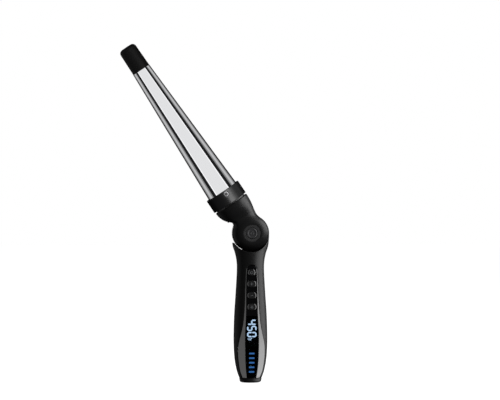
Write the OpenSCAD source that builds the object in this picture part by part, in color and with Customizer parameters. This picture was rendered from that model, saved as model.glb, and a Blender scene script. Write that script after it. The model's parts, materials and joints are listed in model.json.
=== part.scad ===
// Curling wand with a folding head: tapered hot barrel, hinge disc and a handle with a control panel.
// The handle stands along +Z, the hinge turns about Y, the controls face -Y and the head folds to -X.
// The origin is the centre of the cord inlet, at the bottom of the handle.

/* [Handle] */
// Height of the hinge pivot above the bottom of the handle
pivot_h = 149; // [145:1:155]
// Wall of the two handle shells
handle_wall = 2.2; // [1.8:0.1:2.6]
// Height of the end cap's seam
cap_h = 4.4; // [3.5:0.1:5]

/* [Head] */
// Angle between the barrel and the handle as modelled
head_bend = 33.9; // [0:0.1:90]
// Radius of the hinge disc
disc_r = 18.1; // [17.6:0.1:18.2]
// Thickness of the hinge disc
disc_t = 30; // [28:0.5:31]
// Rounding of the hinge disc's rim
rim_r = 9; // [7:0.5:9]
// Distance from the pivot to the end of the neck
neck_len = 35.2; // [34:0.1:37]
// Radius of the neck where it meets the collar
neck_r = 18.5; // [18.2:0.1:18.7]

/* [Barrel] */
// Length of the hot barrel that shows
barrel_len = 144.8; // [140:0.1:160]
// Radius of the barrel at the collar
barrel_r = 16.2; // [15.8:0.1:16.3]
// Radius of the barrel at the cool tip
barrel_tip_r = 9.6; // [9.4:0.05:11]
// Wall of the barrel tube
barrel_wall = 1.4; // [1.2:0.1:1.6]

/* [Collar and cool tip] */
// Radius of the collar
collar_r = 18.75; // [18.4:0.05:19]
// Length of the collar
collar_len = 14; // [13:0.5:16]
// Width of the groove between the neck and the collar
groove_w = 1.5; // [1:0.1:2]
// Length of the cool tip that shows
tip_len = 26.9; // [22:0.1:30]
// Radius of the cool tip beside the barrel
tip_r = 9.5; // [9.3:0.05:9.6]

/* [Controls] */
// Width of a button
button_w = 9.4; // [9:0.1:9.6]
// Width of the top button
top_button_w = 7.8; // [7.4:0.1:8.4]
// Height of a button
button_h = 7.4; // [7:0.1:7.6]
// Distance between buttons
button_pitch = 11.4; // [11:0.1:11.6]
// Height of the top button's centre
button_top_z = 110; // [109.5:0.1:110.5]
// How far a button goes in
button_travel = 0.6; // [0.4:0.1:0.7]
// Height of one display digit
digit_h = 9.4; // [8:0.1:9.6]

/* [Cord inlet] */
// Radius of the hole that takes the cord
inlet_r = 3.6; // [3.2:0.1:3.8]
// Length of the swivelling gland
gland_len = 23; // [22:0.5:24]

/* [Hidden] */
$fn = 96;
eps = 0.01;

// ---- heights along the barrel's axis, from the pivot ----
collar_s = neck_len + groove_w;
barrel_s = collar_s + collar_len;
tip_s = barrel_s + barrel_len;
tip_end_s = tip_s + tip_len;
tip_corner_r = 4;
tip_end_r = 9;
barrel_slope = (barrel_r - barrel_tip_r) / barrel_len;
base_split_s = collar_s + 3.3;
screw_s = barrel_s - 3.9;

// ---- hinge ----
tongue_half = 4.7;
cheek_half = 5.3;
web_half = 8.5;
boss_r = 10.8;
stem_half = 8.2;
hinge_cavity_r = 13;
bolt_r = 3;
bush_r = 4.5;
run_gap = 0.05;
cap_seat_r = 7.9;

// The saddle's axis lies a little to the left of the pivot, so its gap is wider there.
saddle_r = disc_r + 0.7;
saddle_x = -0.5;
// The saddle's left lip is cut off level, so that the neck folds down over it.
lip_z = 139.4;

// ---- handle outline: height and radius ----
outline_marks = [
    [4.6, 11.3], [12, 13.8], [24, 16], [42, 16.9], [66, 16.35], [90, 14.8],
    [111, 13.65], [121, 13.95], [129, 15.5], [135, 17.5], [140, 18.3], [147, 18.75]
];
neck_marks = [[0, 13.4], [11, 15.2], [18, 16.4], [25, 17.8], [31, 18.4], [neck_len, neck_r]];
// Half depth of the neck, which is flattened in front and behind near the disc
neck_depth_marks = [[0, 12.9], [14, 12.9], [20, 14.5], [26, 17.1], [31, 18.4], [neck_len, neck_r]];

// ---- control panel: height and half width of the bezel, then of the band inside it ----
bezel_marks = [
    [5, 9.3], [13, 11.3], [22, 12.7], [31, 13.3], [40, 12.6], [52, 9.9], [62, 8.2],
    [78, 6.9], [96, 6.2], [112, 5.4]
];
band_marks = [
    [5, 4.6], [20, 6.1], [38, 6.8], [50, 6.6], [64, 5.9], [90, 5.7], [104, 5.5], [112, 4.9]
];
panel_bottom = 5;
band_t = 1.5;
bezel_t = 2.6;
ledge_w = 0.9;
seam_gap = 0.08;
window_top = 66.8;
// The panel's opening reaches deep_y up to opening_step_z and shallow_y above it.
deep_y = -4.8;
shallow_y = -9;
opening_step_z = 100;

button_zs = [for (i = [0:3]) button_top_z - i * button_pitch];
button_ws = [top_button_w, button_w, button_w, button_w];
button_proud = 0.8;
button_gap = 0.15;
pad_front_y = -9.2;
button_back_y = pad_front_y - button_travel - 0.15;
board_y = -7;
board_t = 1.6;
module_front_y = -13.4;
screw_places = [[-10.2, 32], [10.2, 32], [-10.2, 78], [10.2, 78], [0, 120]];
head_screw_places = [[9.7, 9.9], [-5.2, 15], [12.3, -6.3]];

// A smooth curve through marks, with steps points between neighbours.
function blend(a, b, c, d, u) =
    0.5 * (2 * b + (c - a) * u + (2 * a - 5 * b + 4 * c - d) * u * u
    + (3 * b - a - 3 * c + d) * u * u * u);
function curve(marks, steps) = [
    for (i = [0:len(marks) - 2], k = [0:steps - 1])
        blend(marks[max(i - 1, 0)], marks[i], marks[i + 1], marks[min(i + 2, len(marks) - 1)], k / steps),
    marks[len(marks) - 1]
];
handle_curve = curve(outline_marks, 5);
neck_curve = curve(neck_marks, 5);
neck_depth_curve = curve(neck_depth_marks, 5);
bezel_curve = curve(bezel_marks, 4);
band_curve = curve(band_marks, 4);
function handle_r(z) = lookup(z, handle_curve);
function barrel_out(s) = barrel_r - max(0, s - barrel_s) * barrel_slope;

// Half widths with a rounded top end, and the depth of the front surface.
function rounded_end(z, z_end, half) =
    z <= z_end ? 1 : sqrt(max(0, 1 - pow((z - z_end) / half, 2)));
function bezel_half(z) = lookup(z, bezel_curve) * rounded_end(z, 112, 5.8);
function band_half(z) = lookup(z, band_curve) * rounded_end(z, 112, 5);
function band_y(z) = -sqrt(pow(handle_r(z), 2) - pow(lookup(z, band_curve), 2)) - 0.05;
function edge_y(z) = -sqrt(pow(handle_r(z), 2) - pow(bezel_half(z), 2)) + 0.12;

function steps_between(a, b, n) = [for (i = [0:n]) a + (b - a) * i / n];
function round_steps(z_end, half, n) = [for (i = [1:n]) z_end + half * sin(88 * i / n)];
band_end_zs = round_steps(112, 5, 6);
bezel_zs = concat(steps_between(panel_bottom, 112, 36), band_end_zs, [117.35, 117.7]);
fascia_zs = concat(steps_between(window_top + 0.2, 112, 15), band_end_zs);
window_zs = steps_between(panel_bottom + 0.1, window_top, 22);

// ---- placing helpers ----
module head_pose() {
    translate([0, 0, pivot_h]) rotate([0, -head_bend, 0]) children();
}

module at_pivot() {
    translate([0, 0, pivot_h]) children();
}

// Round rod along Y
module y_rod(r, y0, y1, sides = 96) {
    translate([0, y0, 0]) rotate([-90, 0, 0]) cylinder(r = r, h = y1 - y0, $fn = sides);
}

// Outline drawn in X and Z, given depth along Y
module y_slab(y0, y1) {
    translate([0, y1, 0]) rotate([90, 0, 0]) linear_extrude(y1 - y0) children();
}

module front_half() {
    intersection() {
        children();
        translate([-150, -60, -60]) cube([300, 60, 500]);
    }
}

module rear_half() {
    intersection() {
        children();
        translate([-150, 0, -60]) cube([300, 60, 500]);
    }
}

// Closed skin over rings of points, each ring with the same number of points
module loft(rings) {
    n = len(rings[0]);
    m = len(rings);
    polyhedron(
        points = [for (ring = rings, p = ring) p],
        faces = concat(
            [[for (j = [0:n - 1]) j]],
            [for (i = [0:m - 2], j = [0:n - 1]) [i * n + j, (i + 1) * n + j, (i + 1) * n + (j + 1) % n]],
            [for (i = [0:m - 2], j = [0:n - 1]) [i * n + j, (i + 1) * n + (j + 1) % n, i * n + (j + 1) % n]],
            [[for (j = [n - 1:-1:0]) (m - 1) * n + j]]
        ),
        convexity = 6
    );
}

// Screw with its axis along Y: the head's outer face at y_head, the point further in
module y_screw(head_r, head_h, shank_r, length, inward) {
    mirror([0, inward > 0 ? 0 : 1, 0]) difference() {
        union() {
            y_rod(head_r, 0, head_h, 48);
            y_rod(shank_r, 0, length, 32);
        }
        for (a = [0, 90]) rotate([0, a, 0])
            translate([-head_r * 0.6, -eps, -0.25]) cube([head_r * 1.2, head_h * 0.5, 0.5]);
    }
}

// =============================== head ===============================

module cool_tip() {
    spigot = 7;
    color([0.09, 0.09, 0.095]) head_pose() difference() {
        rotate_extrude() {
            polygon([
                [0, tip_s - spigot], [tip_r - barrel_wall - 0.3, tip_s - spigot],
                [tip_r - barrel_wall - 0.3, tip_s + 0.02], [tip_r - 0.25, tip_s + 0.02], [tip_r, tip_s + 0.3],
                [tip_end_r, tip_end_s - tip_corner_r], [0, tip_end_s - tip_corner_r]
            ]);
            translate([0, tip_end_s - tip_corner_r - eps])
                square([tip_end_r - tip_corner_r, tip_corner_r + eps]);
            intersection() {
                translate([tip_end_r - tip_corner_r, tip_end_s - tip_corner_r]) circle(tip_corner_r);
                translate([0, tip_end_s - tip_corner_r - eps]) square([tip_end_r, tip_corner_r + eps]);
            }
        }
        translate([0, 0, tip_s - spigot - 1]) cylinder(r = 5.6, h = tip_len + spigot - 3);
    }
}

module tip_insulator() {
    color("ivory") head_pose() translate([0, 0, tip_s - 12.5]) difference() {
        cylinder(r = barrel_out(tip_s - 9) - barrel_wall - 0.2, h = 3.5);
        translate([0, 0, -1]) cylinder(r = 2, h = 6);
    }
}

module barrel() {
    color([0.82, 0.83, 0.85]) head_pose() difference() {
        rotate_extrude() polygon([
            [barrel_r - barrel_wall, base_split_s], [barrel_r, base_split_s], [barrel_r, barrel_s],
            [barrel_tip_r, tip_s], [barrel_tip_r - barrel_wall, tip_s], [barrel_r - barrel_wall, barrel_s]
        ]);
        translate([0, 0, screw_s]) y_rod(1.45, -20, 20, 32);
    }
}

block_s0 = barrel_s + 24;
block_len = 90;

// Cast block that fills half of the tapered tube; side is -1 in front and 1 behind
module heater_block(side) {
    clear = barrel_wall + 0.12;
    difference() {
        translate([0, 0, block_s0]) cylinder(
            r1 = barrel_out(block_s0) - clear, r2 = barrel_out(block_s0 + block_len) - clear, h = block_len);
        translate([-20, side > 0 ? -30 + 1.78 : -1.78, block_s0 - 1]) cube([40, 30, block_len + 2]);
        translate([0, side * 5.4, block_s0 - 1]) cylinder(r = 2.3, h = block_len + 2, $fn = 48);
    }
}

module heater_block_front() {
    color("silver") head_pose() heater_block(-1);
}

module heater_block_rear() {
    color("silver") head_pose() heater_block(1);
}

heater_w = 13;
heater_t = 2.2;
electrode_t = 0.3;

module ceramic_heater() {
    color("dimgray") head_pose() translate([-heater_w / 2, -heater_t / 2, block_s0 + 6])
        cube([heater_w, heater_t, block_len - 12]);
}

module heater_electrodes() {
    color("goldenrod") head_pose() for (side = [-1, 1])
        translate([-heater_w / 2, side * (heater_t + electrode_t) / 2 - electrode_t / 2, block_s0 + 2])
            cube([heater_w, electrode_t, block_len - 6]);
}

module heater_film() {
    inner_w = heater_w + 0.6;
    inner_t = heater_t + 2 * electrode_t + 0.04;
    film_t = 0.28;
    color("orange") head_pose() translate([0, 0, block_s0 + 1]) linear_extrude(block_len - 2)
        difference() {
            square([inner_w + 2 * film_t, inner_t + 2 * film_t], center = true);
            square([inner_w, inner_t], center = true);
        }
}

// Coil spring that pushes the heater blocks into the taper
module heater_spring() {
    spring_s0 = base_split_s + 9.6;
    spring_len = block_s0 - spring_s0 - 0.2;
    coil_r = 9.4;
    wire_r = 0.8;
    turns = 5;
    per_turn = 20;
    rise = (spring_len - 2 * wire_r) / (turns * per_turn);
    rings = [for (i = [0:turns * per_turn]) let (a = 360 * i / per_turn) [
        for (j = [0:7]) let (b = -45 * j)
            [(coil_r + wire_r * cos(b)) * cos(a), (coil_r + wire_r * cos(b)) * sin(a),
                spring_s0 + wire_r + rise * i + wire_r * sin(b)]
    ]];
    color("silver") head_pose() loft(rings);
}

module thermistor() {
    color("tan") head_pose() translate([0, 5.4, 0]) {
        translate([0, 0, block_s0 + 44]) cylinder(r = 1, h = 6, $fn = 32);
        for (x = [-0.5, 0.5])
            translate([x, 0, barrel_s - 26]) cylinder(r = 0.35, h = block_s0 + 45 - barrel_s + 26, $fn = 16);
    }
}

module thermal_fuse() {
    color("lightgray") head_pose() translate([0, -5.4, 0]) {
        translate([0, 0, block_s0 + 12]) cylinder(r = 1.9, h = 11, $fn = 32);
        translate([0, 0, barrel_s - 26]) cylinder(r = 0.5, h = block_s0 + 52 - barrel_s, $fn = 16);
    }
}

module heater_leads() {
    color("white") head_pose() for (side = [-1, 1]) {
        start_s = side > 0 ? 16 : 21.2;
        translate([side * 3.4, side * 0.4, start_s]) cylinder(r = 0.9, h = block_s0 - start_s + 0.5, $fn = 24);
    }
}

// Heat resistant socket that carries the barrel in the neck
module barrel_base() {
    color([0.12, 0.12, 0.12]) head_pose() difference() {
        rotate_extrude() polygon([
            [6.4, 21], [13, 21], [13, 32.5], [barrel_r, 32.5], [barrel_r, base_split_s],
            [barrel_r - barrel_wall - 0.1, base_split_s], [barrel_r - barrel_wall - 0.1, base_split_s + 9.2],
            [6.4, base_split_s + 9.2]
        ]);
        translate([0, 0, screw_s]) y_rod(1.25, -20, 20, 32);
    }
}

collar_screw_r = 2.7;
collar_bore_r = 3;

module collar() {
    soft = 0.6;
    color([0.1, 0.1, 0.105]) head_pose() difference() {
        rotate_extrude() {
            translate([barrel_r + 0.04, collar_s]) square([collar_r - barrel_r - 0.04 - soft, collar_len]);
            translate([barrel_r + 0.04, collar_s + soft])
                square([collar_r - barrel_r - 0.04, collar_len - 2 * soft]);
            for (s = [collar_s + soft, barrel_s - soft]) translate([collar_r - soft, s]) circle(soft, $fn = 32);
        }
        translate([0, 0, screw_s]) {
            y_rod(1.45, -20, 20, 32);
            y_rod(collar_bore_r, -20, 1.5 - collar_r, 48);
            y_rod(collar_bore_r, collar_r - 1.5, 20, 48);
        }
    }
}

module collar_screws() {
    head_h = 1.25;
    color("dimgray") head_pose() translate([0, 0, screw_s]) for (a = [0, 180]) rotate([0, 0, a])
        translate([0, 0.25 - collar_r, 0]) difference() {
            union() {
                y_rod(collar_screw_r, 0, head_h, 48);
                y_rod(1.2, 0, 7.4, 32);
            }
            y_rod(1.35, -1, 0.8, 6);
        }
}

// Outside of the hinge disc: a short drum along Y with a rounded rim
module disc_form() {
    rotate([90, 0, 0]) rotate_extrude() {
        translate([0, -disc_t / 2]) square([disc_r - rim_r, disc_t]);
        translate([0, -disc_t / 2 + rim_r]) square([disc_r, disc_t - 2 * rim_r]);
        for (side = [-1, 1]) translate([disc_r - rim_r, side * (disc_t / 2 - rim_r)]) circle(rim_r);
    }
}

// Bowl of the neck, scooped on the left so that the handle's lip fits under it when folded
module neck_form() {
    notch = [-7.5, 17.4];
    scoop_r = 27;
    scoop_centre = [7.34, 39.9];
    difference() {
        intersection() {
            rotate_extrude() polygon(concat([[0, 0]], [for (p = neck_curve) [p[1], p[0]]], [[0, neck_len]]));
            rotate([90, 0, 90]) linear_extrude(60, center = true) polygon(concat(
                [for (p = neck_depth_curve) [p[1], p[0]]],
                [for (i = [len(neck_depth_curve) - 1:-1:0]) [-neck_depth_curve[i][1], neck_depth_curve[i][0]]]
            ));
        }
        y_slab(-30, 30) difference() {
            translate([-40, -1]) square([40 + notch[0], 32]);
            translate(scoop_centre) circle(scoop_r);
        }
    }
}

// Room that the tongue sweeps through inside the disc, drawn in X and Z
module tongue_sweep() {
    half = stem_half + 0.6;
    reach = disc_r + 3;
    circle(hinge_cavity_r);
    translate([-half, -reach]) square([2 * half, reach]);
    translate([-reach, -half]) square([reach, 2 * half]);
    translate([-reach, -reach]) square([reach, reach]);
}

module head_solid() {
    difference() {
        union() {
            disc_form();
            neck_form();
        }
        y_slab(-cheek_half, cheek_half) tongue_sweep();
        y_slab(-cheek_half, cheek_half) translate([-1.5, 8]) square([9, 14]);
        for (side = [0, 180]) rotate([90, 0, side]) rotate_extrude()
            translate([9.6, 0]) square([2.2, disc_t / 2 - 2.4]);
        y_rod(bolt_r + run_gap, -20, 20);
        y_rod(cap_seat_r, -20, -web_half);
        y_rod(cap_seat_r, web_half, 20);
        translate([0, 0, 20.8]) cylinder(r = 13.05, h = 20);
        translate([0, 0, 32.4]) cylinder(r = barrel_r + 0.05, h = 20);
        for (p = head_screw_places) translate([p[0], 0, p[1]]) {
            y_rod(1.25, -8, 20, 32);
            y_rod(2.3, 10.5, 20, 48);
        }
    }
}

module head_shell_front() {
    color([0.08, 0.08, 0.085]) head_pose() front_half() head_solid();
}

module head_shell_rear() {
    color([0.08, 0.08, 0.085]) head_pose() rear_half() head_solid();
}

module head_screws() {
    color("dimgray") head_pose() for (p = head_screw_places)
        translate([p[0], 12.1, p[1]]) y_screw(2.1, 1.5, 1.2, 18.5, -1);
}

// Cap over the pivot: shallow dish with a raised centre and one ring
module hinge_cap(rib_r = 3.6) {
    depth = disc_t / 2;
    rotate([90, 0, 0]) rotate_extrude() {
        polygon([
            [0, depth - 2.6], [cap_seat_r - 0.1, depth - 2.6], [cap_seat_r - 0.1, depth - 0.2],
            [6.6, depth - 0.6], [5.6, depth - 1.2],
            [5.3, depth - 0.1], [4.7, depth + 0.3], [rib_r, depth + 0.4], [rib_r - 0.35, depth + 0.15],
            [0, depth + 0.15]
        ]);
    }
}

module hinge_cap_front() {
    color([0.25, 0.25, 0.26]) head_pose() hinge_cap();
}

module hinge_cap_rear() {
    color([0.25, 0.25, 0.26]) head_pose() mirror([0, 1, 0]) hinge_cap();
}

module hinge_bolt() {
    color("silver") head_pose() difference() {
        union() {
            y_rod(bolt_r, -web_half, 11.6);
            translate([0, -web_half - 3, 0]) rotate([-90, 0, 0]) cylinder(r = 6.4, h = 3, $fn = 6);
        }
        y_rod(1.4, -20, -web_half - 1, 6);
    }
}

module hinge_nut() {
    color("silver") head_pose() translate([0, web_half + 1, 0]) rotate([-90, 0, 0]) difference() {
        cylinder(r = 6.2, h = 2.6, $fn = 6);
        translate([0, 0, -1]) cylinder(r = bolt_r, h = 5);
    }
}

module spring_washers() {
    color("gray") head_pose() rotate([-90, 0, 0]) rotate_extrude() {
        for (i = [0, 1]) translate([0, web_half + 0.02 + i * 0.48])
            polygon([[3.2, 0], [6.6, 0.12], [6.6, 0.44], [3.2, 0.36]]);
    }
}

module friction_washers() {
    color("wheat") head_pose() for (side = [-1, 1])
        rotate([side * 90, 0, 0]) rotate_extrude()
            translate([bolt_r + 0.2, tongue_half + 0.05]) square([5.4, cheek_half - tongue_half - 0.07]);
}

// ============================== handle ==============================

module hinge_tongue() {
    channel_x = 4.6;
    foot_z = -40;
    color("gray") at_pivot() difference() {
        y_slab(-tongue_half, tongue_half) {
            circle(boss_r);
            translate([-stem_half, foot_z]) square([2 * stem_half, -foot_z]);
        }
        y_rod(bush_r, -10, 10);
        translate([channel_x, -1.8, foot_z - 1]) cube([10, 3.6, 29]);
        translate([0, 0, screw_places[4][1] - pivot_h]) y_rod(2.5, -10, 10, 48);
    }
}

module hinge_bush() {
    color("peru") at_pivot() difference() {
        y_rod(bush_r, -tongue_half, tongue_half);
        y_rod(bolt_r + run_gap, -10, 10);
    }
}

// Body of revolution inside the handle outline, made smaller by inset
module handle_turning(inset, z0, z1) {
    zs = concat([z0], [for (p = handle_curve) if (p[0] > z0 && p[0] < z1) p[0]], [z1]);
    rotate_extrude() polygon(concat([[0, z0]], [for (z = zs) [handle_r(z) - inset, z]], [[0, z1]]));
}

module saddle_cut() {
    translate([saddle_x, 0, pivot_h]) y_rod(saddle_r, -40, 40);
}

// Outline of the panel's opening, drawn in X and Z
module bezel_outline(grow) {
    polygon(concat(
        [for (z = bezel_zs) [bezel_half(z) + grow, z]],
        [for (i = [len(bezel_zs) - 1:-1:0]) [-bezel_half(bezel_zs[i]) - grow, bezel_zs[i]]]
    ));
}

module handle_solid() {
    post_r = 2.4;
    cavity_top = 113;
    difference() {
        handle_turning(0, cap_h + 0.2, 147);
        difference() {
            handle_turning(handle_wall, cap_h + 0.1, cavity_top);
            for (p = screw_places) if (p[0] != 0) {
                side = p[0] > 0 ? 1 : -1;
                translate([p[0], 0, p[1]]) y_rod(post_r, -5, 20, 48);
                translate([p[0] + (side > 0 ? 0 : -6), -5, p[1] - 0.8]) cube([6, 18, 1.6]);
            }
        }
        saddle_cut();
        translate([-40, -40, lip_z]) cube([30, 80, 20]);
        translate([-6.2, -12, 100]) cube([12.4, 12 - cheek_half, 16.6]);
        translate([-stem_half - 0.05, -tongue_half - 0.02, 108.8])
            cube([2 * stem_half + 0.1, 2 * tongue_half + 0.04, 40]);
        for (p = screw_places) translate([p[0], 0, p[1]]) {
            y_rod(1.25, -5.8, 20, 32);
            y_rod(2.3, 7, 20, 48);
        }
    }
}

module handle_shell_front() {
    color([0.085, 0.085, 0.09]) difference() {
        front_half() handle_solid();
        y_slab(-20, deep_y) intersection() {
            bezel_outline(0.12);
            translate([-20, 0]) square([40, opening_step_z]);
        }
        y_slab(-20, shallow_y) bezel_outline(0.12);
    }
}

module handle_shell_rear() {
    color([0.085, 0.085, 0.09]) rear_half() handle_solid();
}

module handle_screws() {
    color("dimgray") for (p = screw_places)
        translate([p[0], 8.6, p[1]]) y_screw(2.1, 1.5, 1.2, 13.4, -1);
}

// Glossy petal: two sloping side facets and a ledge for the band
module panel_bezel() {
    rings = [for (z = bezel_zs) let (
        h = bezel_half(z), e = edge_y(z), y = band_y(z),
        b = max(h * 0.5, min(band_half(z), h * 0.95)),
        pocket = z < 117.01 ? band_t : 0.03,
        edge_back = min(e + bezel_t, (z > opening_step_z - 2 ? shallow_y : deep_y) - 0.1)
    ) [
        [-h, e, z], [-h, edge_back, z], [-b, y + bezel_t, z], [b, y + bezel_t, z], [h, edge_back, z],
        [h, e, z], [b, y, z], [b, y + pocket, z], [-b, y + pocket, z], [-b, y, z]
    ]];
    color([0.05, 0.05, 0.055]) difference() {
        loft(rings);
        for (span = [[7.5, 33.5], [36, 65], [68, 114.5]]) y_slab(-20, 0)
            polygon([
                for (z = steps_between(span[0], span[1], 8)) [band_half(z) - ledge_w, z],
                for (z = steps_between(span[1], span[0], 8)) [ledge_w - band_half(z), z]
            ]);
    }
}

// Strip of the flush band between two heights
module band_strip(zs) {
    loft([for (z = zs) let (b = band_half(z) - seam_gap, y = band_y(z))
        [[-b, y, z], [-b, y + band_t - 0.05, z], [b, y + band_t - 0.05, z], [b, y, z]]]);
}

// Oval of a button, drawn in X and Z
module button_oval(width, grow) {
    end_r = button_h / 2 + grow;
    flat_half = (width - button_h) / 2;
    for (side = [-1, 1]) translate([side * flat_half, 0]) circle(end_r, $fn = 48);
    square([2 * flat_half, 2 * end_r], center = true);
}

module button_fascia() {
    color([0.03, 0.03, 0.035]) difference() {
        band_strip(fascia_zs);
        for (i = [0:3]) translate([0, 0, button_zs[i]]) y_slab(-20, -5) button_oval(button_ws[i], button_gap);
    }
}

module display_window() {
    color([0.05, 0.06, 0.08]) band_strip(window_zs);
}

module button(i) {
    z = button_zs[i];
    width = button_ws[i];
    front_y = band_y(z) - button_proud;
    flange_y = max(band_y(z + button_h / 2), band_y(z - button_h / 2)) + band_t + 0.12;
    translate([0, 0, z]) {
        y_slab(front_y + 0.35, button_back_y) button_oval(width, 0);
        y_slab(front_y, front_y + 0.36) button_oval(width, -0.35);
        y_slab(flange_y, flange_y + 0.5) intersection() {
            button_oval(width, 0.5);
            square([width - 1, 20], center = true);
        }
    }
}

module power_button() {
    color([0.13, 0.13, 0.135]) button(0);
}

module plus_button() {
    color([0.13, 0.13, 0.135]) button(1);
}

module minus_button() {
    color([0.13, 0.13, 0.135]) button(2);
}

module mode_button() {
    color([0.13, 0.13, 0.135]) button(3);
}

digit_z = 63.2;
digit_pitch = 6.1;
digit_w = 5.3;
bar_w = 1.35;

// One bar of a seven-bar figure, from one corner to the next
module figure_bar(a, b, w) {
    d = (b - a) / norm(b - a);
    n = [-d[1], d[0]] * w / 2;
    p = a + d * (w * 0.5);
    q = b - d * (w * 0.5);
    polygon([p - d * w * 0.42, p + n, q + n, q + d * w * 0.42, q - n, p - n]);
}

// Seven-bar figure: the bars are top, upper right, lower right, bottom, lower left, upper left, middle
module figure(lit, w, h, bar) {
    x0 = bar / 2;
    x1 = w - bar / 2;
    ys = [bar / 2, h / 2, h - bar / 2];
    ends = [
        [[x0, ys[2]], [x1, ys[2]]], [[x1, ys[1]], [x1, ys[2]]], [[x1, ys[0]], [x1, ys[1]]],
        [[x0, ys[0]], [x1, ys[0]]], [[x0, ys[0]], [x0, ys[1]]], [[x0, ys[1]], [x0, ys[2]]],
        [[x0, ys[1]], [x1, ys[1]]]
    ];
    for (i = lit) figure_bar(ends[i][0], ends[i][1], bar);
}

// The reading runs down the handle, with the tops of the figures to the right
module display_digits() {
    small_h = 3.8;
    small_w = 2.2;
    small_bar = 0.55;
    color([0.85, 0.95, 1]) y_slab(module_front_y - 0.25, module_front_y)
        translate([-digit_h / 2, digit_z]) rotate(-90) {
            figure([1, 2, 5, 6], digit_w, digit_h, bar_w);
            translate([digit_pitch, 0]) figure([0, 2, 3, 5, 6], digit_w, digit_h, bar_w);
            translate([2 * digit_pitch, 0]) figure([0, 1, 2, 3, 4, 5], digit_w, digit_h, bar_w);
            translate([3 * digit_pitch + 0.6, 0]) figure([0, 4, 5, 6], small_w, small_h, small_bar);
            translate([3 * digit_pitch + 0.3, small_h + 0.4]) difference() {
                circle(0.65, $fn = 24);
                circle(0.3, $fn = 24);
            }
        }
}

module display_module() {
    color([0.1, 0.1, 0.1]) translate([-4.85, module_front_y, 38.5])
        cube([9.7, board_y - module_front_y, 26.3]);
}

level_count = 5;
level_pitch = 4.6;
level_top_z = 29.5;

// Row of plain indicator bars under the lower part of the window
module level_bars() {
    color([0.35, 0.6, 1]) for (i = [0:level_count - 1]) {
        z = level_top_z - i * level_pitch;
        slope = atan((band_y(z + 2) - band_y(z - 2)) / 4);
        translate([0, band_y(z) + band_t + 0.1, z]) rotate([-slope, 0, 0])
            translate([-2.6, 0, -0.75]) cube([5.2, 0.4, 1.5]);
    }
}

module button_pad() {
    color("lightgray") {
        translate([-5.2, -7.9, 71]) cube([10.4, 0.9, 43.5]);
        for (z = button_zs) translate([0, 0, z]) y_rod(2.6, pad_front_y, -7.5, 48);
    }
}

module control_board() {
    color("darkgreen") translate([-7, board_y, 36]) cube([14, board_t, 76.8]);
}

module control_chip() {
    color([0.15, 0.15, 0.15]) translate([-3.5, board_y + board_t, 84]) cube([7, 1.3, 7]);
}

power_y = 3.2;

module power_board() {
    color("darkolivegreen") translate([-7, power_y, 36]) cube([14, 1.6, 68]);
}

module triac() {
    color([0.15, 0.15, 0.15]) {
        translate([-5, power_y + 1.6, 84]) cube([10, 3.4, 9]);
        translate([-5, power_y + 1.6, 93]) cube([10, 1.2, 6]);
    }
}

module heat_sink() {
    color("silver") {
        translate([-5.5, power_y + 1.6, 50]) cube([11, 1.5, 30]);
        for (x = [-5.5, -1.9, 1.7, 4.3]) translate([x, power_y + 1.6, 50]) cube([1.2, 5, 30]);
    }
}

module film_capacitor() {
    color("gold") translate([-5, -3.6, 58]) cube([10, power_y + 3.6, 13]);
}

module line_fuse() {
    color("beige") translate([0, 0.3, 40]) {
        cylinder(r = 2.5, h = 14, $fn = 48);
    }
}

module supply_wires() {
    color("firebrick") for (side = [-1, 1])
        translate([side * 4, 6.4, 24.6]) cylinder(r = 0.9, h = 24, $fn = 24);
}

module hinge_wires() {
    color("white") for (y = [-0.9, 0.9])
        translate([6, y, 105]) cylinder(r = 0.8, h = 31, $fn = 24);
}

gland_r = 4.95;
gland_hole_r = 5;
socket_top = 12;
socket_r = 6.7;

module end_cap() {
    soft = 2.2;
    foot_r = 8.3;
    color([0.075, 0.075, 0.08]) difference() {
        rotate_extrude() {
            polygon([
                [0, 0], [foot_r, 0],
                for (a = [10:10:80]) [foot_r + soft * sin(a), soft * (1 - cos(a))],
                [foot_r + soft, soft], [11.25, cap_h], [8, cap_h], [8, gland_len + 1], [0, gland_len + 1]
            ]);
        }
        translate([-10, -17.3, cap_h]) cube([20, 10, 5]);
        translate([0, 0, -1]) cylinder(r = gland_hole_r, h = 40);
        translate([0, 0, -1]) cylinder(r = 6.1, h = 3);
        translate([0, 0, socket_top]) cylinder(r = socket_r, h = 20);
    }
}

// Spring contacts that feed the two slip rings
module brush_contacts() {
    color("goldenrod") for (i = [0, 1]) rotate([0, 0, i * 180]) {
        translate([5.5, -1.4, 15.1 + i * 4.3]) cube([0.9, 2.8, 1.6]);
        translate([6.15, -1.4, 15.1 + i * 4.3]) cube([0.35, 2.8, 8 - i * 4.3]);
    }
}

// Swivelling gland that holds the cord
module cord_gland() {
    color([0.06, 0.06, 0.065]) difference() {
        union() {
            cylinder(r = 6, h = 1.7);
            cylinder(r = gland_r, h = gland_len);
        }
        translate([0, 0, -1]) cylinder(r = inlet_r, h = gland_len + 2);
        translate([0, 0, socket_top + 0.3]) rotate_extrude() translate([4.4, 0]) square([2, 0.9]);
    }
}

module slip_rings() {
    color("goldenrod") for (i = [0, 1]) translate([0, 0, 14.8 + i * 4.3]) difference() {
        cylinder(r = 5.4, h = 2.2);
        translate([0, 0, -1]) cylinder(r = gland_r, h = 5);
    }
}

module gland_clip() {
    color("gray") translate([0, 0, socket_top + 0.35]) difference() {
        cylinder(r = 6.5, h = 0.8);
        translate([0, 0, -1]) cylinder(r = 4.45, h = 3);
        translate([-1.6, 0, -1]) cube([3.2, 10, 3]);
    }
}

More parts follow.
